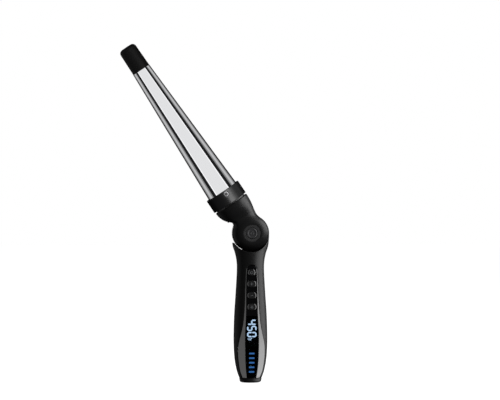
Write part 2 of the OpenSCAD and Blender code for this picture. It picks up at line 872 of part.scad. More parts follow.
cool_tip();
tip_insulator();
barrel();
heater_block_front();
heater_block_rear();
ceramic_heater();
heater_electrodes();
heater_film();
heater_spring();
thermistor();
thermal_fuse();
heater_leads();
barrel_base();
collar();
collar_screws();
head_shell_front();
head_shell_rear();
head_screws();
hinge_cap_front();
hinge_cap_rear();
hinge_bolt();
hinge_nut();
spring_washers();
friction_washers();
hinge_tongue();
hinge_bush();
handle_shell_front();
handle_shell_rear();
handle_screws();
panel_bezel();
button_fascia();
display_window();
display_module();
display_digits();
level_bars();
button_pad();
control_board();
control_chip();
power_board();
triac();
heat_sink();
film_capacitor();
line_fuse();
supply_wires();
hinge_wires();
end_cap();
brush_contacts();
power_button();
plus_button();
minus_button();
mode_button();
cord_gland();
slip_rings();
gland_clip();
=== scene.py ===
"""Looks of a curling wand with a folding head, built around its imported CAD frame."""

import json
import math

import bmesh
import bpy
import numpy as np
from mathutils import Matrix, Vector

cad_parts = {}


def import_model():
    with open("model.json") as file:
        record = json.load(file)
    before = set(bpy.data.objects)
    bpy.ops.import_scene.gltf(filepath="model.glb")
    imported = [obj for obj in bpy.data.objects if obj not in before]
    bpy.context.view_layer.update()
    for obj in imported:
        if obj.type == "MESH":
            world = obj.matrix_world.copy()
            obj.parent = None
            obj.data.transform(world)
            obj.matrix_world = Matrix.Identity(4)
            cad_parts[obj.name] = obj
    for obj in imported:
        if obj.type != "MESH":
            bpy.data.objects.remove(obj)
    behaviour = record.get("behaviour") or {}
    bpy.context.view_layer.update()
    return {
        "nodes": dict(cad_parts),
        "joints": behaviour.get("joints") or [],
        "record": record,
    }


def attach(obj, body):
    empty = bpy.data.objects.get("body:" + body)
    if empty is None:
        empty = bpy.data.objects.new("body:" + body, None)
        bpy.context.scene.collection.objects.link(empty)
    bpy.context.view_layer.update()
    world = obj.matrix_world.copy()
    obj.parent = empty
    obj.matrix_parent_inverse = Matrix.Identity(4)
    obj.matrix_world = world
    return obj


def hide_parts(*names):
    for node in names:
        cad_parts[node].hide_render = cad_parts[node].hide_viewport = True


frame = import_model()

MM = 0.001

# ---- places that the frame gives ----
fold = next(j for j in frame["joints"] if j["name"] == "head_fold")
pivot = Vector(fold["pos_m"])
bend = -math.radians(fold["range_deg"][0])
HEAD = Matrix.Translation(pivot) @ Matrix.Rotation(-bend, 4, "Y")
UP = Matrix.Identity(4)
PIVOT_Z = pivot.z / MM

# ---- sizes of the head, along the barrel's axis from the pivot, in millimetres ----
DISC_R, DISC_HALF, RIM_R = 18.1, 15.0, 9.0
HEAD_SCREWS, HEAD_SCREW_R, HEAD_SCREW_FLOOR = ((9.7, 9.9), (-5.2, 15), (12.3, -6.3)), 2.35, 10.5
CAP_SEAT_R, CAP_SEAT_FLOOR = 7.95, 8.5
TONGUE_HALF_W, TONGUE_HALF_T, BUSH_ROOM_R = 8.8, 5.3, 13
NECK_LEN, COLLAR_S, BARREL_S = 35.2, 36.7, 50.7
SCREW_S, SCREW_R, SCREW_BORE_R = 46.8, 2.7, 3.0
TIP_S, TIP_END_S = 195.5, 222.4
BARREL_R, BARREL_TIP_R, BARREL_WALL = 16.2, 9.6, 1.3
# Radius, lowest height and edge softness of the two steps in the neck that hold the barrel's socket
SOCKET_STEPS = ((BARREL_R + 0.05, 32.4, 0.3), (13.05, 20.8, 0))
TIP_R, TIP_END_R, TIP_CORNER_R = 9.5, 9.0, 4.0
COLLAR_R = 18.75
NECK_MARKS = [(0, 13.4), (11, 15.2), (18, 16.4), (25, 17.8), (31, 18.4), (35.2, 18.5)]
# Half depth of the neck, which is flattened in front and behind near the disc
NECK_DEPTH_MARKS = [(0, 12.9), (14, 12.9), (20, 14.5), (26, 17.1), (31, 18.4), (35.2, 18.5)]

# ---- sizes of the handle ----
CAP_H = 4.4
SHELL_TOP, SHELL_WALL, HOLLOW_TOP = 147.0, 2.2, 113
TONGUE_SLOT = (8.3, 4.8, 108)
POCKET_FLOOR = 4.8
HANDLE_SCREWS = ((-10.2, 32), (10.2, 32), (-10.2, 78), (10.2, 78), (0, 120))
HANDLE_SCREW_R, HANDLE_SCREW_FLOOR = 2.4, 7
# Distance of each shell from the plane where the two shells meet
SPLIT_GAP = 0.03
SADDLE_R, SADDLE_X, LIP_Z = DISC_R + 0.66, -0.62, 139.4
HANDLE_MARKS = [
    (4.6, 11.3), (12, 13.8), (24, 16), (42, 16.9), (66, 16.35), (90, 14.8),
    (111, 13.65), (121, 13.95), (129, 15.5), (135, 17.5), (140, 18.3), (147, 18.75),
]
BEZEL_MARKS = [
    (5, 9.3), (13, 11.3), (22, 12.7), (31, 13.3), (40, 12.6), (52, 9.9), (62, 8.2),
    (78, 6.9), (96, 6.2), (112, 5.4),
]
BAND_MARKS = [(5, 4.6), (20, 6.1), (38, 6.8), (50, 6.6), (64, 5.9), (90, 5.7), (104, 5.5), (112, 4.9)]
# Height where the panel's round end starts, and the end's height for the band and for the bezel
END_Z, BAND_END, BEZEL_END = 112, 5, 5.8

# Thickness of the fascia and the window, and the angle in degrees past which a panel edge is sharp
STRIP_T, PANEL_SHARP = 1.45, 28
WINDOW_TOP = 66.8
BUTTON_H = 7.4
BUTTON_ZS = [110 - 11.4 * k for k in range(4)]
BUTTON_WS = [7.8, 9.4, 9.4, 9.4]
# Inset from the rim and depth behind the front, from the shoulder to the dish
BUTTON_PROFILE = [
    (0, 2.4), (0, 1.5), (0.04, 1.2), (0.16, 0.9), (0.36, 0.6), (0.62, 0.36), (0.95, 0.17), (1.3, 0.07),
    (1.7, 0.03), (2.1, 0.06), (2.8, 0.09), (3.5, 0.1),
]
KEYS = [
    ("power_button", "power_key"), ("plus_button", "plus_key"), ("minus_button", "minus_key"),
    ("mode_button", "mode_key"),
]


def curve(marks, steps=16):
    """Smooth curve through marks, as two arrays."""
    out = []
    for i in range(len(marks) - 1):
        a, b = np.array(marks[max(i - 1, 0)], float), np.array(marks[i], float)
        c, d = np.array(marks[i + 1], float), np.array(marks[min(i + 2, len(marks) - 1)], float)
        for u in np.arange(steps) / steps:
            out.append(0.5 * (2 * b + (c - a) * u + (2 * a - 5 * b + 4 * c - d) * u**2
                              + (3 * b - a - 3 * c + d) * u**3))
    out.append(np.array(marks[-1], float))
    return np.array(out).T


HANDLE_CURVE, NECK_CURVE, NECK_DEPTH_CURVE = curve(HANDLE_MARKS), curve(NECK_MARKS), curve(NECK_DEPTH_MARKS)
BEZEL_CURVE, BAND_CURVE = curve(BEZEL_MARKS), curve(BAND_MARKS)


def handle_r(z):
    return np.interp(z, *HANDLE_CURVE)


def neck_r(s):
    return np.interp(s, *NECK_CURVE)


def rounded_end(z, z_end, half):
    return 1 if z <= z_end else math.sqrt(max(0, 1 - ((z - z_end) / half) ** 2))


def bezel_half(z):
    return float(np.interp(z, *BEZEL_CURVE)) * rounded_end(z, END_Z, BEZEL_END)


def band_half(z):
    return float(np.interp(z, *BAND_CURVE)) * rounded_end(z, END_Z, BAND_END)


def band_y(z):
    """Depth of the flat band's surface."""
    return -math.sqrt(handle_r(z) ** 2 - np.interp(z, *BAND_CURVE) ** 2) - 0.05


def edge_y(z):
    """Depth of the bezel's outer edge."""
    return -math.sqrt(handle_r(z) ** 2 - bezel_half(z) ** 2) + 0.12


# =============================== meshes ===============================


def raw_mesh(name, verts, faces, place):
    """Mesh from points in millimetres, with its place worked into it."""
    mesh = bpy.data.meshes.new(name)
    mesh.from_pydata([[c * MM for c in v] for v in verts], [], [list(f) for f in faces])
    mesh.transform(place)
    mesh.validate()
    mesh.calc_loop_triangles()
    corners = np.array([[mesh.vertices[i].co for i in t.vertices] for t in mesh.loop_triangles])
    volume = np.einsum("ij,ij->i", corners[:, 0], np.cross(corners[:, 1], corners[:, 2])).sum()
    if volume < 0:
        mesh.flip_normals()
    return mesh


def carved(mesh, cutters):
    """The same mesh with the closed cutter meshes taken away."""
    scene = bpy.context.scene.collection
    obj = bpy.data.objects.new("carving", mesh)
    scene.objects.link(obj)
    tools = []
    for cutter in cutters:
        tool = bpy.data.objects.new("cutter", cutter)
        scene.objects.link(tool)
        tools.append(tool)
        cut = obj.modifiers.new("cut", "BOOLEAN")
        cut.operation, cut.solver, cut.object = "DIFFERENCE", "EXACT", tool
    done = bpy.data.meshes.new_from_object(obj.evaluated_get(bpy.context.evaluated_depsgraph_get()))
    for o in tools + [obj]:
        bpy.data.objects.remove(o)
    clear_crumbs(done)
    return done


def clear_crumbs(mesh):
    """Takes away doubled points, slivers and the tiny loose islands that a cut can leave."""
    bm = bmesh.new()
    bm.from_mesh(mesh)
    bmesh.ops.remove_doubles(bm, verts=bm.verts, dist=0.002 * MM)
    bmesh.ops.dissolve_degenerate(bm, edges=bm.edges, dist=0.002 * MM)
    left, crumbs = set(bm.verts), []
    while left:
        front, island = [left.pop()], []
        while front:
            vert = front.pop()
            island.append(vert)
            near = {edge.other_vert(vert) for edge in vert.link_edges} & left
            left -= near
            front += near
        if sum(f.calc_area() for f in {f for vert in island for f in vert.link_faces}) < MM * MM:
            crumbs += island
    bmesh.ops.delete(bm, geom=crumbs, context="VERTS")
    bm.to_mesh(mesh)
    bm.free()


def build(name, verts, faces, body, slot, material, replaces=(), place=UP, sharp_deg=32, cutters=()):
    """New piece that rides on body and stands for the CAD nodes in replaces."""
    mesh = raw_mesh(name, verts, faces, place)
    if cutters:
        mesh = carved(mesh, cutters)
    mesh.materials.clear()
    mesh.materials.append(material)
    mesh.shade_smooth()
    mesh.set_sharp_from_angle(angle=math.radians(sharp_deg))
    mesh.name = name
    obj = bpy.data.objects.new(name, mesh)
    bpy.context.scene.collection.objects.link(obj)
    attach(obj, body)
    if replaces:
        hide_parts(*replaces)
    return obj


def fillet(corners, steps=5):
    """Path through corners (x, y, radius), each rounded by an arc."""
    path = []
    for i, (x, y, r) in enumerate(corners):
        p = np.array([x, y], float)
        if r <= 0 or i in (0, len(corners) - 1):
            path.append((x, y))
            continue
        a = np.array(corners[i - 1][:2], float) - p
        b = np.array(corners[i + 1][:2], float) - p
        a, b = a / np.linalg.norm(a), b / np.linalg.norm(b)
        half = math.acos(max(-1, min(1, float(a @ b)))) / 2
        reach = r / math.tan(half)
        centre = p + (a + b) / np.linalg.norm(a + b) * r / math.sin(half)
        start, end = p + a * reach - centre, p + b * reach - centre
        turn = math.atan2(start[0] * end[1] - start[1] * end[0], float(start @ end))
        for k in range(steps + 1):
            t = turn * k / steps
            c, s = math.cos(t), math.sin(t)
            path.append((centre[0] + start[0] * c - start[1] * s, centre[1] + start[0] * s + start[1] * c))
    return path


def lathe(profile, sides=128, axis="Z"):
    """Turned surface from a path of (radius, height)."""
    verts, faces, rings = [], [], []
    for r, h in profile:
        start = len(verts)
        if r < 1e-6:
            verts.append((0, 0, h))
            rings.append([start] * sides)
            continue
        for j in range(sides):
            a = 2 * math.pi * j / sides
            verts.append((r * math.cos(a), r * math.sin(a), h))
        rings.append(list(range(start, start + sides)))
    for low, high in zip(rings, rings[1:]):
        for j in range(sides):
            k = (j + 1) % sides
            face = list(dict.fromkeys([low[j], low[k], high[k], high[j]]))
            if len(face) > 2:
                faces.append(face)
    if axis == "-Y":
        verts = [(x, -z, y) for x, y, z in verts]
    if axis == "+Y":
        verts = [(-x, z, y) for x, y, z in verts]
    return verts, faces


def loft(rings):
    """Closed skin over rings of points with flat ends."""
    n, m = len(rings[0]), len(rings)
    verts = [tuple(p) for ring in rings for p in ring]
    faces = [[j for j in range(n)][::-1], [(m - 1) * n + j for j in range(n)]]
    for i in range(m - 1):
        for j in range(n):
            k = (j + 1) % n
            faces.append([i * n + j, i * n + k, (i + 1) * n + k, (i + 1) * n + j])
    return verts, faces


def surface_net(field, low, high, cell):
    """Quad mesh of the surface where field(x, y, z) is zero; the solid is where it is negative."""
    axes = [np.arange(a, b + cell, cell) for a, b in zip(low, high)]
    grid = np.meshgrid(*axes, indexing="ij")
    value = field(*grid)
    shape = [len(a) - 1 for a in axes]
    total, count = np.zeros(shape + [3]), np.zeros(shape)
    corner = [(i, j, k) for i in (0, 1) for j in (0, 1) for k in (0, 1)]
    window = {c: tuple(slice(c[a], c[a] + shape[a]) for a in range(3)) for c in corner}
    for a in corner:
        for axis in range(3):
            if a[axis]:
                continue
            b = tuple(1 if n == axis else a[n] for n in range(3))
            va, vb = value[window[a]], value[window[b]]
            cross = (va < 0) != (vb < 0)
            share = np.where(cross, va / np.where(cross, va - vb, 1), 0)
            for n in range(3):
                total[..., n] += np.where(cross, a[n] + (share if n == axis else 0), 0)
            count += cross
    used = count > 0
    index = np.full(shape, -1)
    index[used] = np.arange(used.sum())
    base = np.stack(np.meshgrid(*[a[:-1] for a in axes], indexing="ij"), -1)
    points = base[used] + total[used] / count[used][:, None] * cell
    for _ in range(4):
        step = 1e-3
        v = field(*points.T)
        slope = np.stack([
            (field(*(points + step * np.eye(3)[n]).T) - v) / step for n in range(3)
        ], -1)
        move = (v / np.maximum((slope**2).sum(1), 0.25))[:, None] * slope
        points -= np.clip(move, -0.3 * cell, 0.3 * cell)
    faces = []
    for axis in range(3):
        u, w = [n for n in range(3) if n != axis]
        first = [slice(1, -1)] * 3
        first[axis] = slice(0, -1)
        second = list(first)
        second[axis] = slice(1, None)
        va, vb = value[tuple(first)], value[tuple(second)]
        for flip in (False, True):
            hit = np.argwhere((va >= 0) & (vb < 0) if flip else (va < 0) & (vb >= 0))
            hit[:, u] += 1
            hit[:, w] += 1
            quad = []
            for du, dw in ((0, 0), (-1, 0), (-1, -1), (0, -1)):
                cells = hit.copy()
                cells[:, u] += du
                cells[:, w] += dw
                quad.append(index[tuple(cells.T)])
            quad = np.stack(quad, -1)
            turned = (axis == 1) != flip
            faces.append(quad[:, ::-1] if turned else quad)
    faces = np.concatenate(faces)
    return points, faces[(faces >= 0).all(1)]


def rod_mesh(radius, y0, y1, x, z, place):
    """Closed round rod along Y."""
    ring = [(x + radius * math.cos(a), z + radius * math.sin(a))
            for a in np.linspace(0, 2 * math.pi, 48, endpoint=False)]
    verts, faces = loft([[(px, y, pz) for px, pz in ring] for y in (y1, y0)])
    return raw_mesh("rod", verts, faces, place)


def soft_min(a, b, k):
    h = np.clip(0.5 + 0.5 * (b - a) / k, 0, 1)
    return b + (a - b) * h - k * h * (1 - h)


def soft_max(a, b, k):
    return -soft_min(-a, -b, k)


# ============================== materials ==============================


def material(name, color, roughness, metallic=0.0, specular=0.5, coat=0.0, coat_roughness=0.1,
             grain=0.0, grain_mm=0.5, variation=0.0, variation_mm=20.0):
    """Procedural surface: base colour with slow variation, and a fine grain in bump and roughness."""
    m = bpy.data.materials.new(name)
    m.use_nodes = True
    nodes, links = m.node_tree.nodes, m.node_tree.links
    bsdf = nodes["Principled BSDF"]
    bsdf.inputs["Base Color"].default_value = (*color, 1)
    bsdf.inputs["Metallic"].default_value = metallic
    bsdf.inputs["Roughness"].default_value = roughness
    bsdf.inputs["Specular IOR Level"].default_value = specular
    bsdf.inputs["Coat Weight"].default_value = coat
    bsdf.inputs["Coat Roughness"].default_value = coat_roughness
    where = nodes.new("ShaderNodeTexCoord")
    if variation:
        cloud = nodes.new("ShaderNodeTexNoise")
        cloud.inputs["Scale"].default_value = 1 / (variation_mm * MM)
        cloud.inputs["Detail"].default_value = 3
        links.new(where.outputs["Object"], cloud.inputs["Vector"])
        ramp = nodes.new("ShaderNodeValToRGB")
        ramp.color_ramp.elements[0].position = 0.3
        ramp.color_ramp.elements[1].position = 0.7
        ramp.color_ramp.elements[0].color = (*[c * (1 - variation) for c in color], 1)
        ramp.color_ramp.elements[1].color = (*[c * (1 + variation) for c in color], 1)
        links.new(cloud.outputs["Fac"], ramp.inputs["Fac"])
        links.new(ramp.outputs["Color"], bsdf.inputs["Base Color"])
        spread = nodes.new("ShaderNodeMapRange")
        spread.inputs["To Min"].default_value = roughness * 0.9
        spread.inputs["To Max"].default_value = min(1, roughness * 1.12)
        links.new(cloud.outputs["Fac"], spread.inputs["Value"])
        links.new(spread.outputs["Result"], bsdf.inputs["Roughness"])
    if grain:
        speck = nodes.new("ShaderNodeTexNoise")
        speck.inputs["Scale"].default_value = 1 / (grain_mm * MM)
        speck.inputs["Detail"].default_value = 2
        links.new(where.outputs["Object"], speck.inputs["Vector"])
        bump = nodes.new("ShaderNodeBump")
        bump.inputs["Strength"].default_value = grain
        bump.inputs["Distance"].default_value = 0.05 * MM
        links.new(speck.outputs["Fac"], bump.inputs["Height"])
        links.new(bump.outputs["Normal"], bsdf.inputs["Normal"])
    return m


def lit(name, color, strength):
    m = material(name, [c * 0.5 for c in color], 0.4)
    bsdf = m.node_tree.nodes["Principled BSDF"]
    bsdf.inputs["Emission Color"].default_value = (*color, 1)
    bsdf.inputs["Emission Strength"].default_value = strength
    return m


def polished_metal():
    """Mirror-polished tapered barrel with faint turning lines and a soft haze."""
    m = material("polished_barrel", (0.86, 0.865, 0.88), 0.07, metallic=1.0)
    nodes, links = m.node_tree.nodes, m.node_tree.links
    bsdf = nodes["Principled BSDF"]
    where = nodes.new("ShaderNodeTexCoord")
    upright = nodes.new("ShaderNodeMapping")
    upright.inputs["Rotation"].default_value = (0, bend, 0)
    stretch = nodes.new("ShaderNodeMapping")
    stretch.inputs["Scale"].default_value = (20, 20, 2600)
    noise = nodes.new("ShaderNodeTexNoise")
    noise.inputs["Scale"].default_value = 1
    noise.inputs["Detail"].default_value = 2
    links.new(where.outputs["Object"], upright.inputs["Vector"])
    links.new(upright.outputs["Vector"], stretch.inputs["Vector"])
    links.new(stretch.outputs["Vector"], noise.inputs["Vector"])
    haze = nodes.new("ShaderNodeMapRange")
    haze.inputs["To Min"].default_value = 0.035
    haze.inputs["To Max"].default_value = 0.07
    links.new(noise.outputs["Fac"], haze.inputs["Value"])
    links.new(haze.outputs["Result"], bsdf.inputs["Roughness"])
    bump = nodes.new("ShaderNodeBump")
    bump.inputs["Strength"].default_value = 0.04
    bump.inputs["Distance"].default_value = 0.01 * MM
    links.new(noise.outputs["Fac"], bump.inputs["Height"])
    links.new(bump.outputs["Normal"], bsdf.inputs["Normal"])
    return m


def smoked_glass():
    m = material("smoked_window", (0.16, 0.18, 0.22), 0.03, specular=0.5)
    bsdf = m.node_tree.nodes["Principled BSDF"]
    bsdf.inputs["Transmission Weight"].default_value = 1.0
    bsdf.inputs["IOR"].default_value = 1.2
    return m


BLACK = material("matte_black", (0.012, 0.012, 0.0124), 0.42, specular=0.35, grain=0.25, grain_mm=0.35,
                 variation=0.12)
SATIN = material("satin_black", (0.005, 0.005, 0.0054), 0.3, specular=0.5, grain=0.2, grain_mm=0.3,
                 variation=0.1)
GLOSS = material("gloss_black", (0.004, 0.004, 0.0045), 0.07, specular=0.5, coat=0.6, coat_roughness=0.03,
                 variation=0.1, variation_mm=30)
TIP = material("tip_black", (0.022, 0.0205, 0.021), 0.55, specular=0.4, grain=0.35, grain_mm=0.4,
               variation=0.12, variation_mm=8)
RUBBER = material("button_rubber", (0.012, 0.012, 0.0125), 0.24, specular=0.6, coat=0.4,
                  coat_roughness=0.15, grain=0.2, grain_mm=0.25, variation=0.15, variation_mm=4)
CAP = material("cap_metal", (0.02, 0.02, 0.021), 0.3, metallic=0.2, grain=0.1, grain_mm=0.3,
               variation=0.1, variation_mm=5)
SOCKET = material("glass_fibre", (0.008, 0.008, 0.008), 0.55, grain=0.3, grain_mm=0.4, variation=0.15)
STEEL = material("steel", (0.2, 0.2, 0.205), 0.35, metallic=1.0, grain=0.2, grain_mm=0.3,
                 variation=0.1, variation_mm=3)
SCREW = material("screw_steel", (0.165, 0.165, 0.17), 0.38, metallic=1.0, grain=0.2, grain_mm=0.3,
                 variation=0.1, variation_mm=3)
BARREL = polished_metal()
WINDOW = smoked_glass()
FIGURES = lit("figure_light", (0.72, 0.9, 1.0), 4.0)
BARS = lit("blue_light", (0.12, 0.4, 0.9), 1.8)
PRINT = material("key_print", (0.07, 0.075, 0.08), 0.5, variation=0.1, variation_mm=2)

INNER = {
    "cast_aluminium": material("cast_aluminium", (0.6, 0.61, 0.62), 0.45, 1.0, grain=0.5, variation=0.1),
    "brass": material("brass", (0.72, 0.5, 0.2), 0.3, 1.0, grain=0.2, variation=0.1),
    "bronze": material("bronze", (0.5, 0.33, 0.18), 0.4, 1.0, grain=0.3, variation=0.15),
    "ceramic": material("ceramic", (0.78, 0.76, 0.7), 0.35, grain=0.2, variation=0.06),
    "film": material("film", (0.7, 0.33, 0.06), 0.15, grain=0.1, variation=0.1),
    "silicone": material("silicone", (0.55, 0.56, 0.57), 0.6, grain=0.2, variation=0.05),
    "board_green": material("board_green", (0.02, 0.13, 0.05), 0.3, grain=0.2, variation=0.1),
    "chip_black": material("chip_black", (0.02, 0.02, 0.02), 0.6, grain=0.3, variation=0.1),
    "lead_sleeve": material("lead_sleeve", (0.75, 0.75, 0.72), 0.8, grain=0.6, variation=0.1),
    "wire_red": material("wire_red", (0.45, 0.03, 0.02), 0.4, grain=0.1, variation=0.1),
    "capacitor_yellow": material("capacitor_yellow", (0.7, 0.5, 0.06), 0.3, grain=0.1, variation=0.08),
    "steel": STEEL, "glass_fibre": SOCKET, "matte_black": BLACK, "satin_black": SATIN,
    "gloss_black": GLOSS, "tip_black": TIP, "polished_barrel": BARREL, "smoked_window": WINDOW,
    "figure_light": FIGURES, "blue_light": BARS, "button_rubber": RUBBER, "cap_metal": CAP,
}


def dress_cad_nodes():
    """Each CAD node that stays takes the material of its slot."""
    for part in frame["record"]["subparts"]:
        obj = frame["nodes"][part["node"]]
        obj.data.materials.clear()
        obj.data.materials.append(INNER[part["material_slot"]])


# ============================= head pieces =============================


def head_form(t, y, s):
    """Signed distance, near the surface, of the disc and the scooped neck in the head's own frame."""
    ring = np.hypot(t, s) - (DISC_R - RIM_R)
    side = np.abs(y) - (DISC_HALF - RIM_R)
    outside = np.hypot(np.maximum(ring, 0), np.maximum(side, 0))
    disc = outside + np.minimum(np.maximum(ring, side), 0) - RIM_R
    flat = np.abs(y) - np.interp(s, *NECK_DEPTH_CURVE)
    neck = soft_max(np.hypot(t, y) - neck_r(s), flat, 4)
    bowl = np.hypot(t - 7.34, s - 39.9) - 27
    allowed = soft_min(bowl, -7.5 - t, 3)
    neck = soft_max(neck, allowed, 3)
    neck = soft_max(neck, s - NECK_LEN, 0.8)
    neck = np.maximum(neck, -2 - s)
    return soft_min(disc, neck, 3.5)


def tongue_room(t, y, s):
    """Room for the tongue over the whole fold: negative inside it."""
    reach = DISC_R + 3
    down = np.maximum(np.abs(t) - TONGUE_HALF_W, s)
    left = np.maximum(np.abs(s) - TONGUE_HALF_W, t)
    corner = np.maximum(t, s)
    arc = np.hypot(t, s) - reach
    swept = np.maximum(np.minimum(np.minimum(down, left), corner), arc)
    room = np.minimum(np.hypot(t, s) - BUSH_ROOM_R, swept)
    return np.maximum(room, np.abs(y) - TONGUE_HALF_T)


def head_shell(side):
    """Front (side -1) or rear (side +1) shell of the head."""

    def field(t, y, s):
        d = head_form(t, y, s)
        cap_seat = np.maximum(np.hypot(t, s) - CAP_SEAT_R, CAP_SEAT_FLOOR - y * side)
        d = soft_max(d, -cap_seat, 0.15)
        d = soft_max(d, -tongue_room(t, y, s), 0.6)
        for radius, floor, softness in SOCKET_STEPS:
            step = np.maximum(np.hypot(t, y) - radius, floor - s)
            d = soft_max(d, -step, softness) if softness else np.maximum(d, -step)
        if side > 0:
            for x, z in HEAD_SCREWS:
                hole = np.maximum(np.hypot(t - x, s - z) - HEAD_SCREW_R, HEAD_SCREW_FLOOR - y)
                d = soft_max(d, -hole, 0.4)
        return soft_max(d, SPLIT_GAP - y * side, 0.25)

    low = (-19.5, -19, -18.2) if side < 0 else (-19.5, -1, -18.2)
    high = (19.5, 1, 36.2) if side < 0 else (19.5, 19, 36.2)
    verts, faces = surface_net(field, low, high, 0.5)
    name = "head_shell_front" if side < 0 else "head_shell_rear"
    build("skin_" + name, verts, faces, "head", "matte_black", BLACK, [name], HEAD, 50)


def collar_screws():
    """Pan-headed screw with a six-sided socket, in the collar's front and in its back."""
    face = COLLAR_R - 0.25
    profile = fillet([
        (0, face - 7.2, 0), (1.2, face - 7.2, 0.2), (1.2, face - 1.25, 0), (SCREW_R, face - 1.25, 0),
        (SCREW_R, face - 0.12, 0.3), (1.75, face, 0.1), (0, face, 0),
    ], 5)
    pit = [(0, face - 2.3), (1.65, face - 0.9), (1.65, face + 1), (0, face + 1)]
    verts, faces, sockets = [], [], []
    for axis in ("-Y", "+Y"):
        v, f = lathe(profile, 64, axis)
        faces += [[i + len(verts) for i in corner] for corner in f]
        verts += [(x, y, z + SCREW_S) for x, y, z in v]
        v, f = lathe(pit, 6, axis)
        sockets.append(raw_mesh("socket", [(x, y, z + SCREW_S) for x, y, z in v], f, HEAD))
    build("skin_collar_screws", verts, faces, "head", "steel", SCREW, ["collar_screws"], HEAD,
          cutters=sockets)


def hinge_cap(side):
    """Dished cap with a thin rim over the pivot, and its raised centre with one plain ring."""
    d = DISC_HALF
    axis, name = ("-Y", "hinge_cap_front") if side < 0 else ("+Y", "hinge_cap_rear")
    dish = fillet([
        (0, d - 0.45, 0), (5.35, d - 0.45, 0), (5.55, d - 0.45, 0.08), (5.95, d + 0.03, 0.08),
        (6.2, d + 0.03, 0), (8.25, d + 0.03, 0), (8.4, d + 0.03, 0.03), (8.4, d - 0.03, 0),
        (7.8, d - 0.03, 0), (7.8, d - 2.4, 0), (0, d - 2.4, 0),
    ], 4)[::-1]
    build("skin_" + name, *lathe(dish, 96, axis), "head", "matte_black", BLACK, [name], HEAD)
    centre = fillet([
        (0, d + 0.05, 0), (0.9, d + 0.02, 0.1), (1.1, d + 0.28, 0.08), (1.7, d + 0.28, 0.08),
        (1.9, d - 0.02, 0.1), (3.5, d + 0.1, 0.6), (4.3, d + 0.36, 0.3), (5.0, d + 0.22, 0.3),
        (5.35, d - 0.15, 0.2), (5.35, d - 1.4, 0), (0, d - 1.4, 0),
    ], 4)[::-1]
    build(name + "_centre", *lathe(centre, 96, axis), "head", "cap_metal", CAP, (), HEAD)


def turned_head_pieces():
    collar = fillet([
        (16.26, COLLAR_S + 0.3, 0), (16.5, COLLAR_S, 0.2), (COLLAR_R, COLLAR_S, 0.25),
        (COLLAR_R, BARREL_S, 0.7), (16.7, BARREL_S, 0.3), (16.26, BARREL_S - 0.6, 0),
    ], 6)
    collar.append(collar[0])
    verts, faces = lathe(collar, 160)
    spans = ((-20, 1.5 - COLLAR_R), (COLLAR_R - 1.5, 20))
    bores = [rod_mesh(SCREW_BORE_R, a, b, 0, SCREW_S, HEAD) for a, b in spans]
    build("skin_collar", verts, faces, "head", "satin_black", SATIN, ["collar"], HEAD, cutters=bores)

    seam = 0.25
    barrel = fillet([
        (BARREL_R, COLLAR_S + 4, 0), (BARREL_R, BARREL_S, 0), (BARREL_TIP_R, TIP_S, seam),
        (BARREL_TIP_R - BARREL_WALL, TIP_S, 0),
    ])
    straight = [(BARREL_R + (BARREL_TIP_R - BARREL_R) * k / 40, BARREL_S + (TIP_S - BARREL_S) * k / 40)
                for k in range(1, 40)]
    inside = [(BARREL_R - BARREL_WALL, BARREL_S), (BARREL_R - BARREL_WALL, COLLAR_S + 4), barrel[0]]
    verts, faces = lathe(barrel[:2] + straight + barrel[2:] + inside, 192)
    build("skin_barrel", verts, faces, "head", "polished_barrel", BARREL, ["barrel"], HEAD)

    tip = fillet([
        (0, TIP_S - 6, 0), (7.7, TIP_S - 6, 0.3), (7.7, TIP_S + 0.04, 0), (TIP_R, TIP_S + 0.04, 0.3),
        (TIP_END_R, TIP_END_S, TIP_CORNER_R), (0, TIP_END_S, 0),
    ], 12)
    verts, faces = lathe(tip, 128)
    build("skin_cool_tip", verts, faces, "head", "tip_black", TIP, ["cool_tip"], HEAD)


# ============================ handle pieces ============================


def handle_shell(side):
    """Front (side -1) or rear (side +1) shell: a smooth turned form under the saddle."""

    def field(x, y, z):
        d = np.hypot(x, y) - handle_r(z)
        d = soft_max(d, z - SHELL_TOP, 0.8)
        d = np.maximum(d, CAP_H + 0.2 - z)
        saddle = SADDLE_R - np.hypot(x - SADDLE_X, z - PIVOT_Z)
        d = soft_max(d, saddle, 0.7)
        d = soft_max(d, np.minimum(z - LIP_Z, -10 - x), 0.6)
        half_w, half_t, floor = TONGUE_SLOT
        slot = np.maximum(np.abs(x) - half_w, np.abs(y) - half_t)
        d = soft_max(d, -np.maximum(slot, floor - z), 0.3)
        hollow = np.maximum(np.hypot(x, y) - handle_r(z) + SHELL_WALL, z - HOLLOW_TOP)
        d = np.maximum(d, -hollow)
        if side < 0:
            outline = np.abs(x) - np.interp(z, BEZEL_ZS, BEZEL_HALVES) - 0.14
            outline = np.maximum(outline, z - END_Z - BEZEL_END - 0.1)
            d = soft_max(d, -np.maximum(outline, y + POCKET_FLOOR), 0.3)
        else:
            for px, pz in HANDLE_SCREWS:
                hole = np.maximum(np.hypot(x - px, z - pz) - HANDLE_SCREW_R, HANDLE_SCREW_FLOOR - y)
                d = soft_max(d, -hole, 0.4)
        return soft_max(d, SPLIT_GAP - y * side, 0.25)

    low = (-19.2, -19.2, 4) if side < 0 else (-19.2, -1.2, 4)
    high = (19.2, 1.2, 148) if side < 0 else (19.2, 19.2, 148)
    verts, faces = surface_net(field, low, high, 0.6)
    name = "handle_shell_front" if side < 0 else "handle_shell_rear"
    build("skin_" + name, verts, faces, "handle", "matte_black", BLACK, [name], UP, 50)


BEZEL_ZS = np.linspace(5, END_Z + BEZEL_END, 300)
BEZEL_HALVES = np.array([bezel_half(z) for z in BEZEL_ZS])


def bezel_stations():
    zs = list(np.linspace(5, END_Z, 90))
    return zs + [END_Z + BEZEL_END * math.sin(math.radians(88) * k / 14) for k in range(1, 15)]


